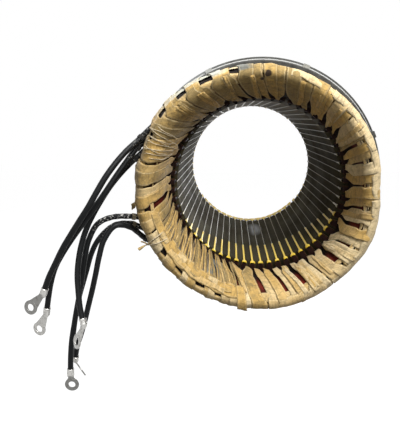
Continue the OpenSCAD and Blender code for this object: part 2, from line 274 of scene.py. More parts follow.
def part(points, uv=None, tone=0.5, wrap=False, flip=False, edge=None):
    """One set of like grids, (count, rows, columns, 3), for put_mesh. wrap joins the last column to the
    first. edge goes from 0 in the middle of a tape to 1 on its two long edges."""
    points = np.asarray(points, float)
    points = points.reshape((-1,) + points.shape[-3:])
    n, rows, cols = points.shape[:3]
    if uv is None:
        across, along = np.linspace(0, 1, cols)[None, None, :], np.linspace(0, 1, rows)[None, :, None]
        uv = np.stack(np.broadcast_arrays(across, along), -1)
    uv = np.broadcast_to(uv, (n, rows, cols, 2))
    tone = np.broadcast_to(tone, (n, rows, cols))
    edge = np.broadcast_to(np.abs(np.linspace(-1, 1, cols)) if edge is None else edge, (n, rows, cols))
    return points, uv, tone, edge, wrap, flip


def put_mesh(name, parts):
    """Grids become one mesh of quads: each cell of a grid is a face; UV, tone and edge sit on the grid's
    points. Points that meet at seams and poles are welded."""
    spots, faces, uvs, tones, edges, base = [], [], [], [], [], 0
    for points, uv, tone, edge, wrap, flip in parts:
        n, rows, cols = points.shape[:3]
        index = base + np.arange(n * rows * cols).reshape(n, rows, cols)
        if wrap:
            index = np.concatenate([index, index[:, :, :1]], axis=2)
        quad = np.stack([index[:, :-1, :-1], index[:, :-1, 1:], index[:, 1:, 1:], index[:, 1:, :-1]], -1)
        quad = quad.reshape(-1, 4)
        faces.append(quad if flip else quad[:, ::-1])
        spots.append(points.reshape(-1, 3))
        uvs.append(uv.reshape(-1, 2))
        tones.append(tone.reshape(-1))
        edges.append(edge.reshape(-1))
        base += n * rows * cols
    faces = np.concatenate(faces)
    mesh = bpy.data.meshes.new(name)
    mesh.from_pydata(np.concatenate(spots).tolist(), [], faces.tolist())
    corners = np.concatenate(uvs)[faces.reshape(-1)]
    mesh.uv_layers.new(name="weave").data.foreach_set("uv", corners.reshape(-1))
    mesh.attributes.new("tone", 'FLOAT', 'POINT').data.foreach_set("value", np.concatenate(tones))
    mesh.attributes.new("edge", 'FLOAT', 'POINT').data.foreach_set("value", np.concatenate(edges))
    mesh.polygons.foreach_set("use_smooth", np.ones(len(faces), bool))
    weld = bmesh.new()
    weld.from_mesh(mesh)
    bmesh.ops.remove_doubles(weld, verts=weld.verts, dist=1e-7)
    weld.to_mesh(mesh)
    weld.free()
    mesh.update()
    obj = bpy.data.objects.new(name, mesh)
    bpy.context.scene.collection.objects.link(obj)
    return obj


def dress(obj, finish, nodes=(), thick=0.0):
    """Gives a piece its finish, body and the CAD nodes it stands for; thick adds a wall
    inwards."""
    obj.data.materials.append(finish)
    if thick:
        wall = obj.modifiers.new("wall", 'SOLIDIFY')
        wall.thickness = thick
        wall.offset = -1.0
    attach(obj, "root")
    if nodes:
        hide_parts(*nodes)
    return obj


# Finishes

def put(kind, options=None, tree=None, **sockets):
    """Adds a shader node to the tree, or else to the tree that its inputs come from. Options are set on it;
    a socket gets a value, or a link where it is given an output. i0, i1 and so on name sockets by their
    place."""
    if tree is None:
        tree = next(value.id_data for value in sockets.values() if isinstance(value, bpy.types.NodeSocket))
    node = tree.nodes.new("ShaderNode" + kind)
    for key, value in (options or {}).items():
        setattr(node, key, value)
    for key, value in sockets.items():
        socket = node.inputs[int(key[1:])] if key[0] == "i" and key[1:].isdigit() else node.inputs[key]
        if isinstance(value, bpy.types.NodeSocket):
            tree.links.new(value, socket)
        else:
            socket.default_value = value
    return node


def new_finish(name, **sockets):
    """A Principled material with those values on the shader's own sockets."""
    finish = bpy.data.materials.new(name)
    finish.use_nodes = True
    shader = finish.node_tree.nodes["Principled BSDF"]
    for key, value in sockets.items():
        shader.inputs[key.replace("_", " ")].default_value = value
    return finish, finish.node_tree, shader


def link(value, shader, socket="Base Color"):
    """Leads a value into one of the shader's sockets."""
    shader.id_data.links.new(value, shader.inputs[socket])


def place_of(tree):
    """Object coordinates."""
    return put("TexCoord", tree=tree).outputs["Object"]


def weave_of(tree):
    """The piece's own UV map, in centimetres on tape."""
    return put("UVMap", {"uv_map": "weave"}, tree).outputs["UV"]


def carried(tree, name):
    """A value that the piece carries on its points."""
    return put("Attribute", {"attribute_name": name}, tree).outputs["Fac"]


def scaled(source, scale):
    """The coordinates times a scale for each axis."""
    return put("Mapping", Vector=source, Scale=scale).outputs["Vector"]


def noise(vector, scale=1.0, detail=2.0, rough=0.5):
    """Value of a noise pattern, 0 to 1."""
    return put("TexNoise", Vector=vector, Scale=scale, Detail=detail, Roughness=rough).outputs["Fac"]


def remap(value, lo, hi, out_lo=0.0, out_hi=1.0):
    """The value stretched from lo..hi to out_lo..out_hi and held there."""
    return put("MapRange", i0=value, i1=lo, i2=hi, i3=out_lo, i4=out_hi).outputs[0]


def mix(share, a, b, how='MIX'):
    """Two colours mixed by a share."""
    return put("Mix", {"data_type": 'RGBA', "blend_type": how}, i0=share, i6=a, i7=b).outputs[2]


def reckon(how, a, **second):
    """One sum of a value, with a second value i1 where the sum takes two."""
    return put("Math", {"operation": how}, i0=a, **second).outputs[0]


def times(a, b):
    """Product of two values."""
    return reckon('MULTIPLY', a, i1=b)


def plus(a, b):
    """Sum of two values."""
    return reckon('ADD', a, i1=b)


def minus(a, b):
    """Difference of two values."""
    return reckon('SUBTRACT', a, i1=b)


def length_of(vector):
    """Length of a vector."""
    return put("VectorMath", {"operation": 'LENGTH'}, i0=vector).outputs["Value"]


def dimmed(tint, level):
    """A colour times a level."""
    return tuple(level * x for x in tint[:3]) + (1.0,)


def emboss(shader, height, strength, distance):
    """Bump on the shader's normal."""
    link(put("Bump", Strength=strength, Distance=distance, Height=height).outputs["Normal"], shader, "Normal")


def tape_finish():
    """Cotton tape: a fine weave on the UV, faint long creases darkened as painted shade, pale selvedges by
    the edge value next to a painted shade line along each long edge, stains by place, and each strip's own
    tone between pale, warm and dull, which also carries painted shade and a painted grazing sheen. Made once
    and used again."""
    made = bpy.data.materials.get("tape_weave")
    if made:
        return made
    c = colours()
    finish, tree, shader = new_finish("tape_weave", Roughness=0.80, Sheen_Weight=0.10, Sheen_Roughness=0.5,
                                      Specular_IOR_Level=0.25)
    uv = weave_of(tree)
    place = place_of(tree)
    tone = carried(tree, "tone")
    edge = carried(tree, "edge")
    thread = noise(scaled(uv, (15, 1.1, 1)), 1.0, 3.0, 0.6)
    cross = noise(scaled(uv, (2.2, 15, 1)), 1.0, 1.0, 0.5)
    broad = noise(scaled(uv, (2.2, 0.30, 1)), 1.0, 2.0, 0.5)
    stain = noise(place, 24.0, 2.0, 0.5)
    blot = noise(place, 120.0, 3.0, 0.65)
    warm = remap(plus(tone, times(stain, 0.6)), 0.35, 1.10)
    tint = mix(warm, c.tape_pale, c.tape_warm)
    worn = remap(plus(blot, times(remap(tone, 0.9, 2.0), 0.42)), 0.54, 0.86, 0.0, 0.8)
    tint = mix(worn, tint, c.tape_dull)
    # Tone below zero: pale grey, a painted grazing sheen.
    tint = mix(remap(tone, -0.7, -0.1, 1.0, 0.0), tint, (0.58, 0.58, 0.48, 1.0))
    tint = mix(remap(tone, 2.4, 3.0), tint, (0.17, 0.17, 0.145, 1.0))
    # Tone above 3.2: dark brown, painted shade under the fringe.
    tint = mix(remap(tone, 3.2, 3.8), tint, (0.13, 0.085, 0.04, 1.0))
    selvedge = times(remap(edge, 0.72, 0.82, 0.0, 0.30), remap(edge, 0.86, 0.92, 1.0, 0.0))
    tint = mix(selvedge, tint, (0.80, 0.68, 0.43, 1.0))
    spots = overhang_point(np.radians([88.5, 91.1]), np.array([0.484, 0.44]), 0.002)
    for spot, reach in zip(spots, (0.0054, 0.0036)):
        far = put("VectorMath", {"operation": 'DISTANCE'}, i0=place, i1=tuple(spot)).outputs["Value"]
        far = plus(far, times(blot, 0.007))
        tint = mix(remap(far, reach + 0.002, reach + 0.004, 0.97, 0.0), tint, (0.024, 0.013, 0.008, 1.0))
    shade = remap(thread, 0.32, 0.66, 0.80, 1.05)
    shade = times(shade, remap(cross, 0.30, 0.70, 0.88, 1.05))
    shade = times(shade, remap(broad, 0.30, 0.70, 0.86, 1.06))
    # Painted shade: a dark line along both long edges of each strip.
    shade = times(shade, remap(edge, 0.90, 1.0, 1.0, 0.62))
    # Painted shade in the creases: the fold lines darken the tape.
    fold = reckon('ABSOLUTE', minus(noise(scaled(uv, (0.35, 0.8, 1))), 0.5))
    shade = times(shade, remap(fold, 0.0, 0.04, 0.70, 1.0))
    tint = mix(1.0, tint, put("CombineColor", i0=shade, i1=shade, i2=shade).outputs[0], 'MULTIPLY')
    link(tint, shader)
    crumple = noise(place, 190.0, 2.0, 0.5)
    height = plus(plus(thread, times(broad, 0.5)), times(cross, 0.7))
    emboss(shader, plus(height, times(crumple, 0.9)), 0.5, 0.0009)
    return finish


def coil_finish():
    """Enamelled wire bundle: wires as fine ridges along the UV's first axis, dark varnish between them."""
    c = colours()
    finish, tree, shader = new_finish("wire_bundle", Roughness=0.62, Specular_IOR_Level=0.10)
    uv = weave_of(tree)
    place = place_of(tree)
    wire = noise(scaled(uv, (0.8, 16, 1)), 1.0, 2.0, 0.6)
    patch = noise(place, 45.0, 3.0, 0.6)
    share = remap(plus(wire, times(patch, 0.8)), 0.62, 1.1)
    # The tone scales the red; where it is 0 the bundle is all coil dark, painted shade under the open bands
    # at the rim.
    share = times(share, carried(tree, "tone"))
    link(mix(share, c.coil_dark, c.coil_red), shader)
    emboss(shader, wire, 0.8, 0.001)
    return finish


def legs_finish():
    """Wire of the coil sides between core and overhang: the same enamel on Object coordinates, wires along
    the axis."""
    c = colours()
    finish, tree, shader = new_finish("wire_legs", Roughness=0.62, Specular_IOR_Level=0.10)
    place = place_of(tree)
    wire = noise(scaled(place, (700, 30, 700)), 1.0, 2.0, 0.6)
    share = remap(wire, 0.35, 0.75, 0.0, 0.12)
    link(mix(share, c.coil_dark, c.coil_red), shader)
    emboss(shader, wire, 0.7, 0.001)
    return finish


STEEL_ROUGH = 0.58


def steel_finish(name, lines, edge_r, edge_y, level, rubbed):
    """Steel: dark in the bore, lighter outside, ring lines across the Y axis as laminations or turning
    marks, soiling by place, painted light towards the top of the bore and painted shade towards its bottom,
    a painted highlight low in the bore, and a painted highlight line of the brightness rubbed along the outer
    edge at radius edge_r and distance edge_y from the middle. The outside is pale grey towards the left.
    level is the brightness of the outside."""
    c = colours()
    finish, tree, shader = new_finish(name, Specular_IOR_Level=0.006)
    place = place_of(tree)
    axes = put("SeparateXYZ", Vector=place).outputs
    across = put("CombineXYZ", X=axes[0], Z=axes[2]).outputs[0]
    radius = length_of(across)
    sheet = noise(scaled(place, (6, lines, 6)), 1.0, 2.0, 0.7)
    soil = noise(place, 16.0, 2.0, 0.5)
    rub = noise(scaled(place, (90, 5, 90)), 1.0, 2.0, 0.5)
    both = plus(times(sheet, 0.45), times(rub, 0.55))
    share = remap(both, 0.38, 0.72)
    inside = mix(share, c.steel_dark, c.steel_edge)
    inside = mix(remap(soil, 0.45, 0.75, 0.0, 0.5), inside, (0.036, 0.029, 0.016, 1.0))
    outside = mix(share, dimmed(c.rim_dark, level), dimmed(c.rim_bare, level))
    # The outside is pale grey towards the left, below x = -0.05.
    pale_left = mix(share, (0.33, 0.34, 0.34, 1.0), (0.50, 0.51, 0.51, 1.0))
    outside = mix(remap(axes[0], -0.05, -0.15, 0.0, 0.85), outside, pale_left)
    # Painted light: the inside turns light grey towards the top of the bore; painted shade: it turns darker
    # towards the bottom.
    inside = mix(remap(axes[2], 0.090, 0.138, 0.0, 0.80), inside, (0.30, 0.285, 0.26, 1.0))
    inside = mix(remap(axes[2], -0.090, -0.135, 0.0, 0.30), inside, (0.012, 0.010, 0.006, 1.0))
    dull = mix(share, dimmed(c.rim_dark, 0.8), dimmed(c.rim_bare, 0.8))
    outside = mix(remap(axes[0], 0.11, 0.17), outside, dull)
    # Painted highlight: a light grey patch low in the bore.
    off = put("VectorMath", {"operation": 'SUBTRACT'}, i0=place, i1=(0.0105, 0.070, -0.148)).outputs[0]
    off = length_of(scaled(off, (55, 19, 40)))
    bright = times(remap(off, 0.45, 1.15, 0.85, 0.0), remap(rub, 0.35, 0.60, 0.30, 1.0))
    inside = mix(bright, inside, (0.40, 0.41, 0.415, 1.0))
    tint = mix(remap(radius, 0.190, 0.200), inside, outside)
    far = reckon('ABSOLUTE', axes[1])
    # Painted highlight: a light line along the outer edge, of the brightness rubbed.
    edge = times(remap(radius, edge_r - 0.0015, edge_r - 0.0009),
                remap(far, edge_y - 0.0022, edge_y - 0.0014))
    edge = times(edge, remap(radius, edge_r + 0.0001, edge_r + 0.0005, 1.0, 0.0))
    tint = mix(edge, tint, (rubbed, rubbed, 0.97 * rubbed, 1.0))
    link(tint, shader)
    link(remap(soil, 0.3, 0.7, STEEL_ROUGH - 0.10, STEEL_ROUGH + 0.12), shader, "Roughness")
    emboss(shader, sheet, 0.35, 0.0004)
    return finish


def film_finish():
    """Slot strips: bright yellow film where the tone is 1, pale worn strip where it is 0, olive where it is
    -1, white as a painted glint where it is 2, fine streaks along them."""
    c = colours()
    finish, tree, shader = new_finish("slot_film", Roughness=0.38)
    place = place_of(tree)
    tone = carried(tree, "tone")
    streak = noise(scaled(place, (420, 22, 420)), 1.0, 3.0, 0.6)
    gloss = minus(remap(tone, -1.0, 0.0, 0.10, 0.55), remap(tone, 0.0, 1.0, 0.0, 0.35))
    link(gloss, shader, "Specular IOR Level")
    tint = mix(remap(tone, -1.0, 0.0), (0.20, 0.165, 0.06, 1.0), c.strip_pale)
    tint = mix(remap(tone, 0.0, 1.0), tint, c.film_yellow)
    tint = mix(remap(tone, 1.2, 1.8), tint, (0.92, 0.92, 0.89, 1.0))
    tint = mix(remap(streak, 0.45, 0.75, 0.0, 0.28), tint, (0.22, 0.16, 0.05, 1.0))
    link(tint, shader)
    emboss(shader, streak, 0.3, 0.0004)
    return finish


def liner_finish():
    """Slot liner film with soft creases and a browned stain, on Object coordinates."""
    c = colours()
    finish, tree, shader = new_finish("liner_sheet", Roughness=0.6, Specular_IOR_Level=0.15)
    place = place_of(tree)
    crease = noise(scaled(place, (180, 60, 180)), 1.0, 3.0, 0.6)
    tint = mix(remap(crease, 0.35, 0.75), c.liner_brown, (0.012, 0.006, 0.003, 1.0))
    link(tint, shader)
    emboss(shader, crease, 0.3, 0.0006)
    return finish


def rubber_finish():
    """Black lead rubber: dusty streaks along the lead, small scuffs, a dull gloss, and pale flecks as painted
    glints where the tone says so."""
    c = colours()
    finish, tree, shader = new_finish("lead_sheath", Specular_IOR_Level=0.13)
    uv = weave_of(tree)
    place = place_of(tree)
    dust = noise(scaled(uv, (7, 30, 1)), 1.0, 4.0, 0.65)
    scuff = noise(place, 160.0, 3.0, 0.6)
    tint = mix(remap(dust, 0.52, 0.85, 0.0, 0.35), c.rubber, (0.030, 0.031, 0.034, 1.0))
    # Painted glints: pale flecks, as strong as the tone.
    glint_share = carried(tree, "tone")
    fleck = noise(scaled(place, (230, 400, 400)), 1.0, 1.0, 0.5)
    fleck = times(remap(fleck, 0.59, 0.66), glint_share)
    tint = mix(fleck, tint, (0.55, 0.54, 0.50, 1.0))
    link(tint, shader)
    link(remap(scuff, 0.35, 0.7, 0.36, 0.55), shader, "Roughness")
    emboss(shader, plus(dust, scuff), 0.2, 0.0006)
    return finish


def tin_finish():
    """Tinned copper: brushed streaks, tarnish spots and worn gloss."""
    c = colours()
    finish, tree, shader = new_finish("tin_skin", Metallic=1.0)
    place = place_of(tree)
    brush = noise(scaled(place, (900, 900, 120)), 1.0, 2.0, 0.5)
    spot = noise(place, 240.0, 4.0, 0.6)
    bright = carried(tree, "tone")
    tint = mix(bright, (0.11, 0.11, 0.105, 1.0), c.tin)
    tint = mix(remap(spot, 0.48, 0.74, 0.0, 0.6), tint, (0.09, 0.08, 0.07, 1.0))
    link(tint, shader)
    link(remap(spot, 0.3, 0.7, 0.22, 0.42), shader, "Roughness")
    emboss(shader, brush, 0.15, 0.0003)
    return finish


def twine_finish():
    """Twisted twine: slanting plies along the UV, a dusty variation by place, black wax where the tone is
    0."""
    made = bpy.data.materials.get("twine_ply")
    if made:
        return made
    c = colours()
    finish, tree, shader = new_finish("twine_ply", Roughness=0.85, Sheen_Weight=0.05)
    uv = weave_of(tree)
    place = place_of(tree)
    ply = put("TexWave", {"wave_type": 'BANDS', "bands_direction": 'DIAGONAL'},
              Vector=scaled(uv, (1.0, 40, 1)), Scale=1.5, Distortion=0.6).outputs["Fac"]
    dust = noise(place, 120.0, 3.0, 0.6)
    tint = mix(remap(dust, 0.4, 0.75, 0.0, 0.6), c.twine, (0.34, 0.25, 0.14, 1.0))
    waxed = carried(tree, "tone")
    tint = mix(remap(waxed, 0.0, 0.4), (0.012, 0.011, 0.010, 1.0), tint)
    link(tint, shader)
    emboss(shader, ply, 0.5, 0.0004)
    return finish


# Tape

# Lean of the turns at the lead end: angle in degrees, share of the usual lean.
LEAN = np.array([[0, 0.6], [40, 0.9], [120, 1.1], [200, 1.2], [230, 1.9], [250, 1.7], [290, 1.15], [340, 0.7],
                 [360, 0.6]])


def tape_strips(end, lines, seed, rows=72, cols=9):
    """Sixty tapes in thirty wide turns. Turn k lies between joint lines k and k+1; a line stands at its
    crest angle and leans by lean * (v - 0.5) up to the crest. Each turn holds two tapes that share its
    width with an overlap: theta = edge + (edge' - edge) * (p + (q - p) u). The lift is a base height, a
    tilt across the tape and three sine wrinkles. Tips at the inner foot are narrowed and cut aslant."""
    rng = np.random.default_rng(seed)
    n = len(lines)
    v = np.linspace(-0.01, 1.0, rows)[None, None, :, None]
    u = np.linspace(0, 1, cols)[None, None, None, :]
    jit = rng.uniform(-0.6, 0.6, n)
    lean = sizes().tape_lean * (1 + rng.uniform(-0.12, 0.12, n))
    at = np.radians(lines[:, 0])
    if end < 0:
        lean = lean * np.interp(lines[:, 0], LEAN[:, 0], LEAN[:, 1], period=360)

    def line(k):
        """Angle of joint line k along the section."""
        wrap = 360.0 * (k // n)
        k = k % n
        a = (lines[k, 0] + wrap + jit[k])[:, None, None, None]
        return np.radians(a + lean[k][:, None, None, None] * (np.minimum(v, 0.5) - 0.5))

    def gap(k):
        """Half the opening at joint line k along the section, in metres."""
        k = k % n
        inner = lines[k, 1][:, None, None, None]
        rim = lines[k, 2][:, None, None, None]
        slit = (around(at[k], RIM_SLIT, 1) if end < 0 else 0.6 + 0 * k)[:, None, None, None]
        slot = ease(v, 0.02, 0.20) * (1 - ease(v, 0.42, 0.47))
        inner = np.where(inner < 0, -inner * (1 - ease(v, 0.06, 0.32)), inner * slot)
        return 0.0005 * (1.6 * inner + rim * ease(v, slit - 0.06, slit) * (1 - 0.6 * ease(v, 0.85, 1.0)))

    r = np.interp(v, SEC_V, SEC[:, 0])
    k = np.arange(n)
    lo = line(k) + gap(k) / r
    hi = line(k + 1) - gap(k + 1) / r
    near = 1 - ease(v, 0.0, 0.17)
    over = rng.uniform(0.04, 0.16, (n, 1, 1, 1))
    which = np.array([0, 1])[None, :, None, None]
    p = np.where(which == 0, 0.10 * near, 0.5 - over + (over + 0.10) * near)
    q = np.where(which == 0, 0.5 + over - (over + 0.10) * near, 1 - 0.10 * near)
    wob = 0.012 * np.sin(9 * v + rng.uniform(0, PHASE, (n, 2, 1, 1)))
    theta = lo + (hi - lo) * (p + wob + (q - p) * u)
    tip = np.degrees(theta[:, :, :1].mean(axis=3, keepdims=True))
    theta = theta + np.radians(1.2 + 6 * np.round((tip - 1.2) / 6) - tip) * near
    slant = rng.uniform(-0.05, 0.05, (n, 2, 1, 1))
    cut = slant * (u - 0.5) + rng.uniform(0.01, 0.045, (n, 2, 1, 1))
    under = (np.abs(lines[:, 0] - 230) < 28)[:, None, None, None] if end < 0 else False
    cut = np.where(under, cut + 0.10, cut)
    v_cut = v + cut * (1 - ease(v, 0.0, 0.25))
    base = sizes().tape_thick + np.where(which == 0, 0.0008, 0.0018)
    base = base + rng.uniform(-0.0003, 0.0005, (n, 2, 1, 1))
    tilt = rng.uniform(-0.0009, 0.0003, (n, 2, 1, 1))
    ph = rng.uniform(0, PHASE, (4, n, 2, 1, 1))
    width = 2 * u - 1
    lift = (base + tilt * width + 0.00022 * np.sin(4.5 * width + 7 * v + ph[0])
            + 0.00020 * np.sin(3 * width - 16 * v + ph[1]) + 0.00010 * np.sin(9 * width + 30 * v + ph[2])
            - 0.0003 * width**2 + 0.0007 * near)
    points = overhang_point(theta, v_cut, lift, end)
    across = (theta - theta.mean(axis=3, keepdims=True)) * r * UV_CM
    across = across + 7 * np.arange(2 * n).reshape(n, 2, 1, 1)
    uv = np.stack(np.broadcast_arrays(across, v * SEC_LEN * UV_CM + 5 * ph[3]), -1)
    tone = rng.uniform(0.0, 0.85, (n, 2, 1, 1)) + 0.7 * (rng.uniform(0, 1, (n, 2, 1, 1)) > 0.8) + 0 * theta
    if end < 0:
        def near_by(angle, spread):
            """Bell curve round the ring, 1 at that angle."""
            return np.exp(-(np.angle(np.exp(1j * (theta - np.radians(angle)))) / np.radians(spread)) ** 2)

        # Painted shade, partly dull tape: round 112 degrees, on the top of the ring, whose inner face looks
        # down, the tone rises towards dull.
        tone = tone + 1.3 * near_by(112, 50) + 1.5 * near_by(226, 28) * (1 - ease(v, 0.34, 0.40))
        tone = np.minimum(tone, 2.2)
        # Painted sheen: pale grey (tone -0.9) on the upper left rim, round 112 to 126 degrees, where the tape
        # is seen at grazing.
        grazing_sheen = np.maximum(near_by(112, 11) * ease(v, 0.50, 0.56),
                            0.9 * near_by(126, 26) * ease(v, 0.57, 0.62))
        grey = near_by(100, 5.5) * ease(v, 0.505, 0.535)
        # Painted shade under the fringe: near the inner foot, round 224 to 226 degrees, the tapes lean dull
        # (the second term of the tone above) and turn dark brown (tone 4.2).
        under_fringe_shade = near_by(224, 26) * (1 - ease(v, 0.30, 0.36))
        tone = (tone * (1 - grazing_sheen) - 0.9 * grazing_sheen) * (1 - grey) + 3.2 * grey
        tone = tone * (1 - under_fringe_shade) + 4.2 * under_fringe_shade
    shape = (2 * n, rows, cols)
    return part(points.reshape(shape + (3,)), uv.reshape(shape + (2,)), tone.reshape(shape), flip=end > 0)


def tape_band(end, t0, t1, lo, hi, lift, seed, tone=0.4, cols=240, rows=7):
    """Tape laid along the rim: theta runs from t0 to t1, v from lo(theta) to hi(theta). Its edges wave and
    its lift has a crown across and slow waves along."""
    rng = np.random.default_rng(seed)
    theta = np.linspace(t0, t1, cols)[None, :]
    u = np.linspace(0, 1, rows)[:, None]
    ph = rng.uniform(0, PHASE, 6)
    lo, hi = (np.broadcast_to(side, theta.shape) + 0.006 * np.sin(slow * theta + ph[k])
              + 0.004 * np.sin(quick * theta + ph[k + 1])
              for side, slow, quick, k in ((lo, 17, 41, 0), (hi, 15, 37, 2)))
    v = lo + (hi - lo) * u
    w = 2 * u - 1
    high = (lift + 0.0004 * (1 - w * w) + 0.0004 * np.sin(13 * theta + 3 * w + ph[4])
            + 0.0003 * np.sin(47 * theta - 2 * w + ph[5]))
    points = overhang_point(theta, v, high, end)
    uv = np.stack(np.broadcast_arrays(v * SEC_LEN * UV_CM, -theta * 20.0), -1)
    return part(points, uv, tone, flip=end > 0, edge=np.abs(w))


def loose_tapes(end, centre, start, stop, half, lean, lift, tone, seed, rows=26, cols=6):
    """Single narrow tapes: theta = centre + lean (v - start) + u half / r along v from start to stop, each
    with its own lift, tilt, wrinkles and slanting ends. All inputs are arrays with one value for each
    tape."""
    rng = np.random.default_rng(seed)
    given = np.broadcast_arrays(centre, start, stop, half, lean, lift, tone)
    centre, start, stop, half, lean, lift, tone = (np.asarray(a, float).reshape(-1, 1, 1) for a in given)
    n = len(centre)
    u = np.linspace(-1, 1, cols)[None, None, :]
    t = np.linspace(0, 1, rows)[None, :, None]
    v = start + (stop - start) * t + rng.uniform(-0.015, 0.015, (n, 1, 1)) * u * (1 - ease(t, 0, 0.3))
    r = np.interp(v, SEC_V, SEC[:, 0])
    ph = rng.uniform(0, PHASE, (3, n, 1, 1))
    taper = 0.72 + 0.28 * ease(t, 0, 0.25)
    theta = centre + lean * (v - start) + u * half * taper / r + 0.006 * np.sin(5 * t + ph[0])
    high = (sizes().tape_thick + lift + rng.uniform(-0.0005, 0.0005, (n, 1, 1)) * u
            + 0.0003 * np.sin(4 * u + 8 * t + ph[1]) + 0.0003 * np.sin(14 * t - 2 * u + ph[2]))
    points = overhang_point(theta, v, high, end)
    uv = np.stack(np.broadcast_arrays(u * half * UV_CM + 5 * ph[0], v * SEC_LEN * UV_CM + 9 * ph[1]), -1)
    return part(points, uv, tone + 0 * theta, flip=end > 0)


# Operators

CAMERA_AT = (-0.050, -0.902, 0.1195)
CAMERA_WAY = (-0.0743, 0.9687, -0.2368)
SENSOR = 36.0
FOCAL_PX = 400      # focal length and height of the frame in the photograph's pixels
FRAME_PX = 432
LEAD_SUNK = 0.036   # how far inside the overhang a lead starts
LEAD_STEPS = 141    # points along a lead


def facing(way):
    """Turn of a camera or lamp that looks that way, upright."""
    return Vector(way).to_track_quat('-Z', 'Y').to_euler()


class STATOR_OT_leads(bpy.types.Operator):
    """Camera at the photograph's angle, and the six leads as round tubes along their routes"""
    bl_idname = "stator.leads"
    bl_label = "Camera and leads"

    def execute(self, context):
        lens = bpy.data.cameras.new("camera")
        lens.sensor_fit = 'VERTICAL'
        lens.sensor_height = SENSOR
        lens.lens = SENSOR * FOCAL_PX / FRAME_PX
        camera = bpy.data.objects.new("camera", lens)
        camera.location = CAMERA_AT
        camera.rotation_euler = facing(CAMERA_WAY)
        context.scene.collection.objects.link(camera)
        context.scene.camera = camera
        finish = rubber_finish()
        spots = lead_spots()
        for i in range(LEADS):
            foot, mouth = spots[i, 0], spots[i, 1]
            way = unit(mouth - foot)
            path = np.concatenate([[mouth - LEAD_SUNK * way, mouth - LEAD_SUNK / 2 * way], spots[i, 1:]])
            line = even_curve(path, LEAD_STEPS)
            run = np.linspace(0, 1, LEAD_STEPS)
            crimp = 0.05 * np.sin(150 * run + i) * (1 - ease(run, 0.18, 0.30)) if i > 2 else 0.0 * run
            skin = tube(line, sizes().lead_d / 2 * (1 + crimp), 20)
            # Painted glints: pale flecks on the first stretch of leads 4 and 5, faint near the start of the
            # others.
            glint_share = 1 - ease(run, 0.16, 0.34) if i in (3, 4) else 0.25 * (1 - ease(run, 0.12, 0.2))
            tone = np.pad(glint_share, 1, mode="edge")[:, None]
            obj = put_mesh(f"lead_{i + 1}_rubber", [part(skin, tone=tone, wrap=True)])
            dress(obj, finish, [f"lead_{i + 1}"])
        return {'FINISHED'}


# Palms of the lugs: length from barrel to stud hole in metres, direction, and the way the face looks.
PALM_L = np.array([0.038, 0.038, 0.038, 0.021, 0.021, 0.021])
PALM_WAY = np.array([[-0.69, 0.05, -0.72], [-0.46, 0.05, -0.88], [-0.42, 0.1, -0.9], [0.05, 0, -1],
                     [0, 0.1, -1], [0.6, -0.15, -0.79]])
PALM_FACE = np.array([[-0.2, -0.95, 0.15], [-0.1, -0.95, 0.3], [-0.68, -0.68, 0.27], [0.07, -0.97, 0.24],
                      [0.9, 0.43, 0.04], [0.69, 0.59, 0.42]])
PALM_TIN = np.array([0.25, 0.60, 0.62, 0.15, 0.4, 0.2])     # brightness of each palm, 0 tarnished to 1 fresh
KNEE = 0.0015       # from the end of the lead to the bend of the palm


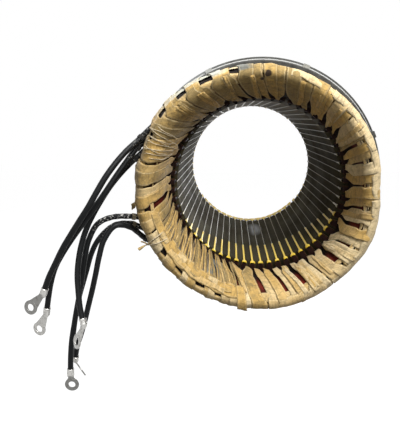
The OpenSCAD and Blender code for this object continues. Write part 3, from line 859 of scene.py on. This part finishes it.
def lug_parts(end, way, palm_way, palm_face, palm_l, tin):
    """Ring lug: a rounded section carried from the barrel's mouth along the lead and on along the palm. Its
    half width and half thickness go from the round barrel, dented by the crimp, to the flat neck that
    widens to the ring. The ring is a flat rounded rectangle, 6.5 mm wide and 2.5 mm thick, turned about the
    stud's axis."""
    palm_way = unit(palm_way)
    palm_face = unit(palm_face - palm_way * (palm_face @ palm_way))
    knee = end + way * KNEE
    centre = knee + palm_way * palm_l
    neck = np.linspace(0, 1, 6)
    t = np.concatenate([np.array([-10, -10, -9.2, -7.2, -5.5, -4.2, -2.8, -1, 0.8, 2.5, 4, 6]) * 0.001,
                        0.0085 + (palm_l - 0.0146) * neck])
    a = np.concatenate([np.array([0, 6.2, 6.5, 6.5, 6.2, 6.6, 6.2, 6.5, 6.6, 6.6, 6.4, 5.8]) * 0.001,
                        0.0051 + 0.0053 * neck])
    b = np.concatenate([np.array([0, 6.2, 6.5, 6.5, 5.5, 5.2, 5.6, 6.3, 5.5, 4, 2.7, 1.6]) * 0.001,
                        0.00122 + 0 * neck])
    straight, bent = end + way * t[:, None], knee + palm_way * (t[:, None] - KNEE)
    bend = ease(t, 0.0, 0.006)[:, None]
    path = straight + (bent - straight) * bend
    face = unit(palm_face - way * (palm_face @ way))
    face = unit(face + (palm_face - face) * bend)
    side = unit(np.cross(unit(way + (palm_way - way) * bend), face))
    angle = np.linspace(0, TURN, 24, endpoint=False)
    c, q = np.cos(angle), np.sin(angle)
    square = np.interp(t, [0.0, 0.006], [1.0, 0.55])[:, None]
    c, q = np.sign(c) * np.abs(c) ** square, np.sign(q) * np.abs(q) ** square
    stem = path[:, None] + side[:, None] * (a[:, None] * c)[..., None]
    stem = stem + face[:, None] * (b[:, None] * q)[..., None]
    cap = np.broadcast_to(stem[-1:].mean(axis=1, keepdims=True), (1, len(angle), 3))
    stem = np.concatenate([stem, cap])
    turn = np.linspace(0, TURN, 48, endpoint=False)[:, None]
    corner = np.array([[6.5, -0.85], [6.9, -1.25], [12.6, -1.25], [13.0, -0.85], [13.0, 0.85], [12.6, 1.25],
                       [6.9, 1.25], [6.5, 0.85]]) * 0.001
    cross = np.cross(palm_face, palm_way)
    r, h = corner[None, :, 0, None], corner[None, :, 1, None]
    ring = centre + r * (palm_way * np.cos(turn)[..., None] + cross * np.sin(turn)[..., None]) + h * palm_face
    ring = np.concatenate([ring, ring[:1]])
    bright = np.append(0.72 + (tin - 0.72) * ease(t, 0.003, 0.006), tin)[:, None]
    return [part(stem, tone=bright, wrap=True), part(ring, tone=tin, wrap=True)]


class STATOR_OT_lugs(bpy.types.Operator):
    """Six tinned ring lugs with crimped barrels, bent as in use"""
    bl_idname = "stator.lugs"
    bl_label = "Ring lugs"

    def execute(self, context):
        finish = tin_finish()
        spots = lead_spots()
        for i in range(LEADS):
            end = spots[i, -1]
            lug = lug_parts(end, unit(end - spots[i, -2]), PALM_WAY[i], PALM_FACE[i], PALM_L[i], PALM_TIN[i])
            obj = put_mesh(f"lug_{i + 1}_tinned", lug)
            dress(obj, finish, [f"lug_{i + 1}"])
        return {'FINISHED'}


def lead_spots():
    """Route points of the leads in the shared frame."""
    return np.stack([-WIND_R - ROUTES[..., 0], -FACE - ROUTES[..., 1], ROUTES[..., 2]], axis=-1)


def paint_node(name, finish):
    """Puts a finish on a CAD node's object."""
    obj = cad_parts[name]
    obj.data.materials.clear()
    obj.data.materials.append(finish)


class STATOR_OT_core(bpy.types.Operator):
    """Steel of the stack, end plates and cleats, film of the slot liners and wire of the coil legs"""
    bl_idname = "stator.core"
    bl_label = "Core"

    def execute(self, context):
        # rubbed gives the brightness of the painted highlight line along each outer edge.
        sheets = steel_finish("stack_sheets", lines=900, edge_r=0.2214, edge_y=0.148, level=1.2, rubbed=0.66)
        plate = steel_finish("plate_face", lines=60, edge_r=0.218, edge_y=FACE, level=0.9, rubbed=0.14)
        bar = steel_finish("cleat_face", lines=60, edge_r=0.240, edge_y=0.161, level=4.5, rubbed=0.66)
        paint_node("core_stack", sheets)
        for name in ("front_end_plate", "rear_end_plate"):
            paint_node(name, plate)
        for i in range(CLEATS):
            paint_node(f"cleat_{i + 1}", bar)
        paint_node("slot_liners", liner_finish())
        paint_node("coil_legs", legs_finish())
        return {'FINISHED'}


STRIP_THIN = 0.0005     # half width of a strip inside the bore
STRIP_WALL = 0.0007     # its thickness


class STATOR_OT_strips(bpy.types.Operator):
    """Closing strips in the slot mouths, yellow at the ends, each end flared into a small bell"""
    bl_idname = "stator.strips"
    bl_label = "Slot strips"

    def execute(self, context):
        """Strip: y runs along the bore and past its ends, u across. Half width = narrow inside, wide in the
        yellow ends, flared past the core face; r rises with the flare and a shallow crown across."""
        s = sizes()
        rng = np.random.default_rng(11)
        a = (SLOT_TURN + TURN * np.arange(SLOTS) / SLOTS)[:, None, None]
        low = np.clip(np.cos(a - np.radians(279)), 0, 1)
        yellow = 0.006 + (s.strip_yellow - 0.006) * ease(low, 0.25, 0.95)
        olive = ease(np.cos(a - np.radians(335)), 0.25, 0.75)
        main = ease(np.cos(a - np.radians(277)), 0.12, 0.50)
        belled = np.maximum(main, 0.5 * olive)
        stick_out = s.bell_reach * (0.15 + 0.85 * belled)
        head = -FACE - stick_out * np.array([1, 0.9, 0.7, 0.47, 0.21, 0, -0.2])[None, :, None]
        middle = -FACE + 0.004 + yellow * np.linspace(0, 1, 5)[None, :, None]
        last = middle[:, -1:]
        rest = last + 0.006 + (FACE - 0.012 - last - 0.006) * np.linspace(0, 1, 8)[None, :, None]
        under = ease(np.clip(np.cos(a - np.radians(268)), 0, 1), 0.45, 0.75)
        tail = FACE - 0.006 + (0.010 + 0.013 * under) * np.linspace(0, 1, 5)[None, :, None]
        y = np.concatenate([head, middle, rest, tail], axis=1)
        u = np.linspace(-1, 1, 5)[None, None, :]
        past = np.clip(np.abs(y) - FACE, 0, s.bell_reach) / s.bell_reach
        front = belled * (1 - ease(y, -FACE + 0.004 + yellow, -FACE + 0.010 + yellow))
        rear = ease(y, FACE - 0.014, FACE - 0.006)
        size = rng.uniform(0.85, 1.12, (SLOTS, 1, 1))
        flare = np.where(y < 0, 0.0016 + (s.bell_half * size - 0.0016) * belled, 0.002 + 0.0060 * under)
        flare = flare - s.strip_half
        # Painted glints: round 104 degrees, at the top of the bore, the strips are white and wider.
        top_glint = np.exp(-((a - np.radians(104)) / np.radians(18)) ** 2)
        end = np.maximum(front, rear)
        half = (STRIP_THIN + 0.0011 * top_glint + (s.strip_half - STRIP_THIN) * end
                + flare * ease((np.abs(y) - FACE) / s.bell_reach, -0.1, 0.55))
        rise = np.where(y < 0, 0.0014, 0.0) * ease(past, 0.2, 1.0)
        r = BORE_R + 0.0003 + rise - 0.0010 * (1 - u * u) * past
        turn = a + u * half / r + rng.uniform(-0.004, 0.004, (SLOTS, 1, 1)) * past
        y = y + rng.uniform(-0.0012, 0.0008, (SLOTS, 1, 1)) * np.where(np.abs(y) > FACE, -np.sign(y), 0)
        end = np.where(top_glint > 0.4, 2.0, end - olive * (main * (1 - end) + 1.2 * (1 - main)))
        y, r, turn = np.broadcast_arrays(y, r, turn)
        points = np.stack([r * np.cos(turn), y, r * np.sin(turn)], axis=-1)
        obj = put_mesh("slot_strips", [part(points, tone=end + 0 * turn, flip=True)])
        wall = dress(obj, film_finish(), ["slot_wedges"]).modifiers.new("wall", 'SOLIDIFY')
        wall.thickness = STRIP_WALL
        wall.offset = 1.0
        return {'FINISHED'}


BUNDLE_SINK = 0.0026     # how far the coils lie under the tape


class STATOR_OT_coils(bpy.types.Operator):
    """Coil bundles under the tape of both overhangs"""
    bl_idname = "stator.coils"
    bl_label = "Coil bundles"

    def execute(self, context):
        """Bundle: the overhang section 2.6 mm under the tape with shallow ridges, closed across its base."""
        finish = coil_finish()
        theta = np.linspace(0, TURN, ROUND)[None, :]
        v = np.linspace(0, 1, 44)[:, None]
        for end, node in ((-1, "front_coils"), (1, "rear_coils")):
            sink = -BUNDLE_SINK + 0.0007 * np.sin(60 * theta + 14 * v) + 0.0004 * np.sin(23 * theta - 40 * v)
            skin = overhang_point(theta, v, sink, end)
            share = np.linspace(0, 1, 5)[1:-1, None, None]
            base = skin[-1:] + (skin[:1] - skin[-1:]) * share
            skin = np.concatenate([skin, base, skin[:1]])
            run = np.concatenate([v[:, 0], 1 + share[:, 0, 0] * 0.2, [1.2]])[:, None]
            uv = np.stack(np.broadcast_arrays(theta * 20, run * SEC_LEN * UV_CM), -1)
            # Red only between about 0.14 and 0.44 of the section; dark near the foot, and dark beyond as
            # painted shade under the open bands at the rim.
            red = ease(run, 0.14, 0.28) * (1 - ease(run, 0.40, 0.44)) + 0 * theta
            obj = put_mesh(node + "_bundle", [part(skin, uv, red, flip=end > 0)])
            dress(obj, finish, [node])
        return {'FINISHED'}


# Tapes laid along the rim of the lead end. Long ones below the fringe: first and last angle in degrees,
# inner edge as a share of the section, tone.
LONG_BANDS = ((192, 216, 0.36, 0.8), (211, 240, 0.335, 1.0), (234, 261, 0.345, 0.9))
# Others: angles, inner and outer edge, lift, seed, tone, columns and, where it is narrow, rows.
SHORT_BANDS = (
    (214, 252, 0.408, 0.452, 0.0040, 90, 0.55, 60), (203, 210, 0.385, 0.435, 0.0040, 91, 0.4, 60),
    (219, 225, 0.350, 0.412, 0.0044, 92, 0.35, 60), (230, 236.5, 0.372, 0.43, 0.0046, 93, 1.5, 60),
    (241, 247, 0.36, 0.405, 0.0044, 94, 0.3, 60), (250, 256, 0.385, 0.44, 0.0040, 95, 1.2, 60),
    (-50, -30, 0.50, 0.60, 0.0020, 45, 0.15, 60), (-34, -3, 0.485, 0.60, 0.0027, 47, -0.02, 60),
    (-7, 26, 0.49, 0.61, 0.0023, 48, 0.05, 60), (22, 56, 0.50, 0.61, 0.0027, 49, 0.0, 60),
    (50, 78, 0.50, 0.60, 0.0020, 50, 0.2, 60), (-32, 42, 0.436, 0.444, 0.0002, 58, 0.0, 110, 3),
    (-32, 42, 0.456, 0.464, 0.0004, 59, 0.1, 110, 3), (-84, -66, 0.46, 0.57, 0.0030, 46, 0.5, 40),
    (-68, -54, 0.47, 0.56, 0.0026, 60, 0.3, 40))


class STATOR_OT_tape(bpy.types.Operator):
    """Tape of both overhangs: rim bands below, sixty tapes in thirty turns over them, loose tapes on top"""
    bl_idname = "stator.tape"
    bl_label = "Taping"

    def execute(self, context):
        finish = tape_finish()
        thick = sizes().tape_thick
        full = np.linspace(0, TURN, ROUND)
        lo, hi = around(full, RIM_SLIT, 1), around(full, RIM_SLIT, 2)
        deg = np.radians
        # Painted sheen: round 122 degrees, on the upper left, the outer rim bands turn pale grey.
        pale = 1.5 * np.exp(-((full - deg(122)) / deg(26)) ** 2)

        def tape_piece(name, parts, *nodes):
            """One piece of cotton tape with its wall."""
            dress(put_mesh(name, parts), finish, nodes, thick)

        tape_piece("front_rim_bands", [
            tape_band(-1, 0, TURN, 0.40, lo, 0.0004, 21, 0.55, ROUND),
            tape_band(-1, 0, TURN, hi, hi + 0.45 * (1 - hi), 0.0002, 22, 0.7 - pale, ROUND),
            tape_band(-1, 0, TURN, hi + 0.38 * (1 - hi), 1.0, -0.0002, 23, 0.85 - 1.1 * pale, ROUND)])
        tape_piece("front_tapes", [tape_strips(-1, TURN_LINES, 31)], "front_taping")
        rng = np.random.default_rng(41)
        tongue, part_of = np.meshgrid(np.arange(11), np.arange(-2, 3), indexing='ij')
        n = tongue.size
        tongue, part_of = tongue.reshape(-1), part_of.reshape(-1)
        fringe = loose_tapes(
            -1, np.radians(193.2 + 6 * tongue + 0.50 * part_of) + rng.uniform(-0.005, 0.005, n),
            0.015 + 0.012 * np.abs(part_of) + rng.uniform(-0.01, 0.02, n), rng.uniform(0.36, 0.42, n),
            rng.uniform(0.0011, 0.0021, n), np.radians(26 + 2.2 * part_of + rng.uniform(-3, 3, n)),
            rng.uniform(0.0016, 0.0036, n), rng.uniform(0.4, 2.0, n), 42)
        m = 26
        spots = np.radians(rng.choice(TURN_LINES[10:30, 0], m) - 0.3 + rng.uniform(-1.5, 1.5, m))
        # Painted shade, partly dull tape: the patches round 112 degrees, on the top of the ring, lean dull.
        warm = 0.9 * np.exp(-((spots - deg(112 + 360)) / deg(44)) ** 2)
        patch = loose_tapes(-1, spots, rng.uniform(0.03, 0.09, m), rng.uniform(0.46, 0.52, m),
                            rng.uniform(0.0030, 0.0060, m), np.radians(rng.uniform(9, 16, m)),
                            rng.uniform(0.0022, 0.0030, m), rng.uniform(0.0, 0.9, m) + warm, 43)
        bands = []
        for i, (t0, t1, lo_v, tone) in enumerate(LONG_BANDS):
            edge = around(np.radians(np.linspace(t0, t1, 60)), RIM_SLIT, 1) + 0.004
            lift, seed = 0.0030 + 0.0004 * (i % 2), 44 + 20 * i
            bands.append(tape_band(-1, deg(t0), deg(t1), lo_v, edge, lift, seed, tone, 60))
        bands += [tape_band(-1, deg(t0), deg(t1), *rest) for t0, t1, *rest in SHORT_BANDS]
        tape_piece("front_loose_tapes", [fringe, patch] + bands)

        back = TURN_LINES.copy()
        other = np.random.default_rng(51)
        back[:, 1] = other.uniform(0, 3.5, len(back))
        back[:, 2] = other.uniform(3, 12, len(back))
        tape_piece("rear_rim_bands", [
            tape_band(1, 0, TURN, 0.40, 0.60, 0.0004, 52, 0.55, ROUND),
            tape_band(1, 0, TURN, 0.67, 0.85, 0.0002, 53, 0.7, ROUND),
            tape_band(1, 0, TURN, 0.82, 1.0, -0.0002, 54, 0.85, ROUND)])
        tape_piece("rear_tapes", [tape_strips(1, back, 55)], "rear_taping")
        m = 60
        patch = loose_tapes(1, np.radians(other.uniform(0, 360, m)), other.uniform(0.03, 0.2, m),
                            other.uniform(0.42, 0.8, m), other.uniform(0.004, 0.0105, m),
                            np.radians(other.uniform(8, 18, m)), other.uniform(0.0022, 0.0034, m),
                            other.uniform(0.0, 0.9, m), 56)
        tape_piece("rear_loose_tapes", [patch, tape_band(1, 0, TURN, 0.46, 0.52, 0.0030, 57, 0.4, ROUND)])
        return {'FINISHED'}


WAXED = (0, 0, 0, 0.25, 0.2, 0)     # tone of each whipping, 0 is black wax


class STATOR_OT_lashings(bpy.types.Operator):
    """Twine whippings where the leads leave the tape"""
    bl_idname = "stator.lashings"
    bl_label = "Lashings"

    def execute(self, context):
        """Whipping: a close helix about the lead's first straight."""
        s = sizes()
        spots = lead_spots()
        parts = []
        for i, waxed in enumerate(WAXED):
            mouth = spots[i, 1]
            way = unit(mouth - spots[i, 0])
            straight = mouth + way * np.linspace(-0.0085, -0.002, 121)[:, None]
            twine = wound(straight, s.lead_d / 2 + s.twine_d * 0.42, 5)
            parts.append(part(tube(twine, s.twine_d / 2, 7), tone=waxed, wrap=True))
        obj = put_mesh("lead_lashings", parts)
        dress(obj, twine_finish(), [f"lead_tie_{i + 1}" for i in range(LEADS)])
        return {'FINISHED'}


# Loose cords: angle in degrees and share of the section where each starts, and the same where it ends.
CORD_ENDS = np.array([
    [149.8, 0.62, 148.3, 0.30], [150.5, 0.66, 151.5, 0.22], [153.2, 0.55, 155.2, 0.12],
    [154.0, 0.60, 152.0, 0.26], [159.3, 0.64, 156.5, 0.20], [158.0, 0.58, 160.0, 0.30],
    [161.5, 0.55, 158.5, 0.18], [147.0, 0.52, 149.5, 0.20], [156.5, 0.62, 153.8, 0.34],
    [162.5, 0.50, 161.0, 0.24]])
# The two strands that run to the knot: angles in degrees, shares of the section, lift.
STRANDS = (([-156.5, -155.8, -154.6, -153.5], [0.415, 0.482, 0.55, 0.62], 0.0045),
           ([-152.2, -153.0, -153.6, -153.5], [0.401, 0.481, 0.569, 0.62], 0.0050))


class STATOR_OT_threads(bpy.types.Operator):
    """Loose cords on the tape at upper left, a knotted tape end at lower left and two free tape ends"""
    bl_idname = "stator.threads"
    bl_label = "Loose ends"

    def execute(self, context):
        """Cord: theta and v run straight between two places of the overhang with a slow sideways wave; a
        thin tube follows it. Knotted end: a circle that widens along a path off the rim and turns back
        inside at its mouth."""
        rng = np.random.default_rng(71)
        t = np.linspace(0, 1, 40)
        ends = CORD_ENDS
        wave = 0.35 * np.sin(5 * t[None] + rng.uniform(0, PHASE, (len(ends), 1)))
        wave = wave + 0.15 * np.sin(13 * t[None] + rng.uniform(0, PHASE, (len(ends), 1)))
        theta = np.radians(ends[:, :1] + (ends[:, 2:3] - ends[:, :1]) * t + wave)
        v = ends[:, 1:2] + (ends[:, 3:] - ends[:, 1:2]) * t
        lift = 0.0034 + 0.0006 * np.sin(9 * t[None] + rng.uniform(0, PHASE, (len(ends), 1)))
        cords = part(tube(overhang_point(theta, v, lift), 0.00055, 6), wrap=True)

        lines = [overhang_point(np.radians(at), np.array(share), high) for at, share, high in STRANDS]
        strands = part(tube(np.stack([even_curve(line, 50) for line in lines]), 0.0009, 6), wrap=True)
        obj = put_mesh("loose_cords", [cords, strands])
        dress(obj, twine_finish())

        foot = lines[0][-1]
        tip = foot + np.array([-0.0160, -0.0034, -0.0086])
        middle = foot + 0.4 * (tip - foot) + [0, -0.001, 0.001]
        bend = even_curve(np.array([lines[0][-2] + [0, -0.001, 0], foot, middle, tip]), 40)
        out = np.concatenate([bend, bend[:-8:-1]])
        wide = np.concatenate([0.0011 + 0.0021 * ease(t, 0.5, 1.0), np.linspace(0.0024, 0.0018, 7)])
        way = unit(np.gradient(bend, axis=0))
        way = np.concatenate([way, way[:-8:-1]])
        side = unit(np.cross(way, [0.1, 0.9, 0.3]))
        over = np.cross(side, way)
        angle = np.linspace(0, TURN, 14, endpoint=False)
        ring = side[:, None] * np.cos(angle)[:, None] + over[:, None] * np.sin(angle)[:, None]
        roll = out[:, None] + wide[:, None, None] * ring * (1 + 0.10 * np.sin(2 * angle))[:, None]
        roll = np.concatenate([0 * roll[:1] + bend[0], roll, 0 * roll[:1] + out[-1]])
        uv = np.stack(np.broadcast_arrays(angle * 0.3, np.linspace(0, 3, len(roll))[:, None]), -1)
        soil = np.concatenate([np.full(41, 0.4), np.full(8, 3.0)])[:, None]
        knot = part(roll, uv, soil, wrap=True, edge=0.0)
        stub = foot + np.array([[0.002, 0, -0.001], [0, 0, 0], [-0.007, 0, 0.0035], [-0.0125, 0, 0.0050]])
        stub = even_curve(stub, 16)
        stub = part(tube(stub, 0.0013, 8), tone=0.6, wrap=True, edge=0.0)

        rows, cols = 24, 7
        u = np.linspace(-1, 1, cols)[None, None, :]
        t = np.linspace(0, 1, rows)[None, :, None]
        deg = np.radians(np.array([-99.6, -174.4]))[:, None, None]
        start, stop = np.array([0.36, 0.60])[:, None, None], np.array([0.558, 0.72])[:, None, None]
        half = np.array([0.0085, 0.0050])[:, None, None]
        free = np.array([0.0032, 0.0060])[:, None, None]
        v = start + (stop - start) * t + np.array([0.010, 0.012])[:, None, None] * u * t
        high = sizes().tape_thick + 0.0034 + free * ease(t, 0.55, 1.0) + 0.0004 * np.sin(4 * u + 6 * t)
        tape = overhang_point(deg + 0.05 * t + u * half / 0.195, v, high)
        uv = np.stack(np.broadcast_arrays(u * half * UV_CM, v * SEC_LEN * UV_CM), -1)
        tone = np.array([0.95, 1.6])[:, None, None] + 0 * v
        obj = put_mesh("knotted_tape_end", [knot, stub])
        dress(obj, tape_finish())
        obj = put_mesh("free_tape_ends", [part(tape, uv, tone)])
        dress(obj, tape_finish(), thick=sizes().tape_thick)
        return {'FINISHED'}


FLOOR_HALF = 6.0
FLOOR_Z = -0.75
FLOOR_GLOW = 0.955      # how white the floor looks to the camera
SKY_LIGHT = 0.07        # light of the surroundings on the object
# Lamps: name, place, aim, width in metres and power in watts.
LAMPS = (("key", (0.72, -1.35, 1.6), (0, -0.2, 0), 0.8, 50.0),
         ("top", (0.10, -0.45, 1.6), (0, -0.2, -0.1), 0.9, 26.0),
         ("back", (0.1, 1.3, 1.1), (0, 0.1, -0.1), 0.9, 14.0),
         ("through", (0.55, 1.4, -0.12), (-0.15, -0.1, 0.05), 0.3, 10.0),
         ("fill", (-0.4, -1.9, 0.6), (0, -0.1, 0), 1.2, 7.0))


def seen_rays(tree):
    """1 for rays of the camera, of gloss and of glass, 0 for the light on the object."""
    rays = put("LightPath", tree=tree).outputs
    shown = reckon('MAXIMUM', rays["Is Glossy Ray"], i1=rays["Is Transmission Ray"])
    return reckon('MAXIMUM', rays["Is Camera Ray"], i1=shown)


class STATOR_OT_stage(bpy.types.Operator):
    """Pale floor, white surroundings and soft lamps"""
    bl_idname = "stator.stage"
    bl_label = "Stage"

    def execute(self, context):
        scene = context.scene
        scene.view_settings.view_transform = 'Standard'
        world = bpy.data.worlds.new("studio")
        scene.world = world
        world.use_nodes = True
        tree = world.node_tree
        tree.nodes.clear()
        sky = put("Background", Color=(1, 1, 1, 1), Strength=remap(seen_rays(tree), 0.0, 1.0, SKY_LIGHT, 1.0))
        put("OutputWorld", Surface=sky.outputs[0])

        grid = np.linspace(-FLOOR_HALF, FLOOR_HALF, 9)
        x, y = np.meshgrid(grid, grid)
        floor = put_mesh("floor", [part(np.stack([x, y, np.full_like(x, FLOOR_Z)], -1), flip=True)])
        paper, tree, shader = new_finish("floor_paper", Roughness=0.9, Specular_IOR_Level=0.1)
        place = place_of(tree)
        fibre = noise(place, 40.0, 3.0, 0.6)
        tint = mix(remap(fibre, 0.3, 0.7), colours().floor, (0.15, 0.15, 0.15, 1.0))
        link(tint, shader)
        shader.inputs["Emission Color"].default_value = (1, 1, 1, 1)
        link(times(seen_rays(tree), FLOOR_GLOW), shader, "Emission Strength")
        floor.data.materials.append(paper)

        for name, spot, aim, size, power in LAMPS:
            lamp = bpy.data.lights.new(name, 'AREA')
            lamp.shape = 'DISK'
            lamp.size = size
            lamp.energy = power
            obj = bpy.data.objects.new(name, lamp)
            obj.location = spot
            obj.rotation_euler = facing(Vector(aim) - Vector(spot))
            scene.collection.objects.link(obj)
        return {'FINISHED'}


STEPS = (STATOR_OT_lugs, STATOR_OT_leads, STATOR_OT_core, STATOR_OT_strips, STATOR_OT_coils, STATOR_OT_tape,
         STATOR_OT_lashings, STATOR_OT_threads, STATOR_OT_stage)


class STATOR_PT_panel(bpy.types.Panel):
    """Lists the steps of the stator's looks"""
    bl_idname = "STATOR_PT_panel"
    bl_label = "Motor stator"
    bl_space_type = 'VIEW_3D'
    bl_region_type = 'UI'
    bl_category = "Stator"

    def draw(self, context):
        column = self.layout.column()
        for step in STEPS:
            column.operator(step.bl_idname)
        for name in StatorSizes.__annotations__:
            column.prop(context.scene.stator_sizes, name)
        for name in StatorColours.__annotations__:
            column.prop(context.scene.stator_colours, name)


CLASSES = (StatorSizes, StatorColours) + STEPS + (STATOR_PT_panel,)


def register():
    """Registers the classes and hangs the values on the scene."""
    for item in CLASSES:
        bpy.utils.register_class(item)
    bpy.types.Scene.stator_sizes = PointerProperty(type=StatorSizes)
    bpy.types.Scene.stator_colours = PointerProperty(type=StatorColours)


def unregister():
    """Takes the values and classes away again."""
    del bpy.types.Scene.stator_colours
    del bpy.types.Scene.stator_sizes
    for item in reversed(CLASSES):
        bpy.utils.unregister_class(item)


def main():
    register()
    bpy.ops.stator.lugs()
    bpy.ops.stator.leads()
    bpy.ops.stator.core()
    bpy.ops.stator.strips()
    bpy.ops.stator.coils()
    bpy.ops.stator.tape()
    bpy.ops.stator.lashings()
    bpy.ops.stator.threads()
    bpy.ops.stator.stage()
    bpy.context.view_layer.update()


if __name__ == "__main__":
    main()
